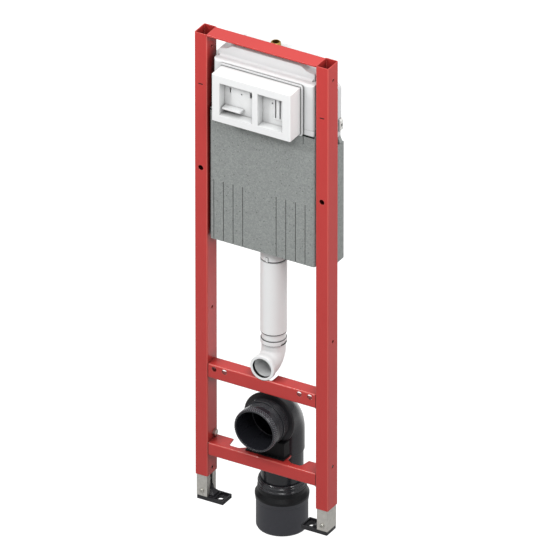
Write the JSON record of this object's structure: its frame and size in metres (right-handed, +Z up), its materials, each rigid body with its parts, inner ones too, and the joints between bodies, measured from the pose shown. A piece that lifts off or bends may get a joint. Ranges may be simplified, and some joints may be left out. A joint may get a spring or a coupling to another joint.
{
  "type": "wall hung toilet frame",
  "caption": "Narrow red steel installation frame with telescopic feet that carries a concealed cistern, flush pipe and drain bend for a wall hung toilet.",
  "frame": {"origin": "centre of the wall face of the top bar's back flange", "axes": "+Z up, +Y towards the wall, +X to the right seen from the front"},
  "size_m": [0.32, 0.1875, 1.18],
  "materials": {
    "red_steel": "powder coated, satin",
    "galvanised_steel": "galvanised sheet",
    "black_plastic": "moulded, satin",
    "zinc_screw": "zinc plated",
    "white_plastic": "moulded, semi-gloss",
    "box_plastic": "moulded, satin",
    "clip_plastic": "moulded",
    "grey_foam": "expanded bead foam",
    "brass": "turned",
    "black_rubber": "moulded",
    "drain_plastic": "moulded, glossy",
    "anthracite_plastic": "moulded, satin"
  },
  "bodies": {
    "frame": {"left_post": "red_steel", "right_post": "red_steel", "top_bar": "red_steel", "bowl_mounting_bar": "red_steel", "lower_bar": "red_steel", "left_clamp_screw": "zinc_screw", "right_clamp_screw": "zinc_screw", "cistern_tub": "white_plastic", "cistern_hood": "white_plastic", "left_tank_clip": "clip_plastic", "right_tank_clip": "clip_plastic", "opening_rim": "white_plastic", "service_box": "box_plastic", "recess_panel": "box_plastic", "flush_lever": "box_plastic", "guide_rail": "box_plastic", "insulation_front": "grey_foam", "insulation_back": "grey_foam", "water_inlet": "brass", "cistern_outlet": "white_plastic", "flush_pipe": "white_plastic", "flush_elbow": "white_plastic", "flush_seal": "black_rubber", "drain_bend": "drain_plastic", "drain_mouth_ring": "drain_plastic", "drain_clamp_ring": "black_plastic", "drain_saddle": "black_plastic", "drain_adapter": "anthracite_plastic", "adapter_collar": "anthracite_plastic"},
    "left_leg": {"left_leg": "galvanised_steel", "left_foot": "black_plastic", "left_foot_screw": "zinc_screw"},
    "right_leg": {"right_leg": "galvanised_steel", "right_foot": "black_plastic", "right_foot_screw": "zinc_screw"}
  },
  "joints": [
    {"name": "left_leg_slide", "type": "slide", "parent": "frame", "child": "left_leg", "axis": [0, 0, -1], "range_m": [-0.02, 0.14]},
    {"name": "right_leg_slide", "type": "slide", "parent": "frame", "child": "right_leg", "axis": [0, 0, -1], "range_m": [-0.02, 0.14]}
  ]
}
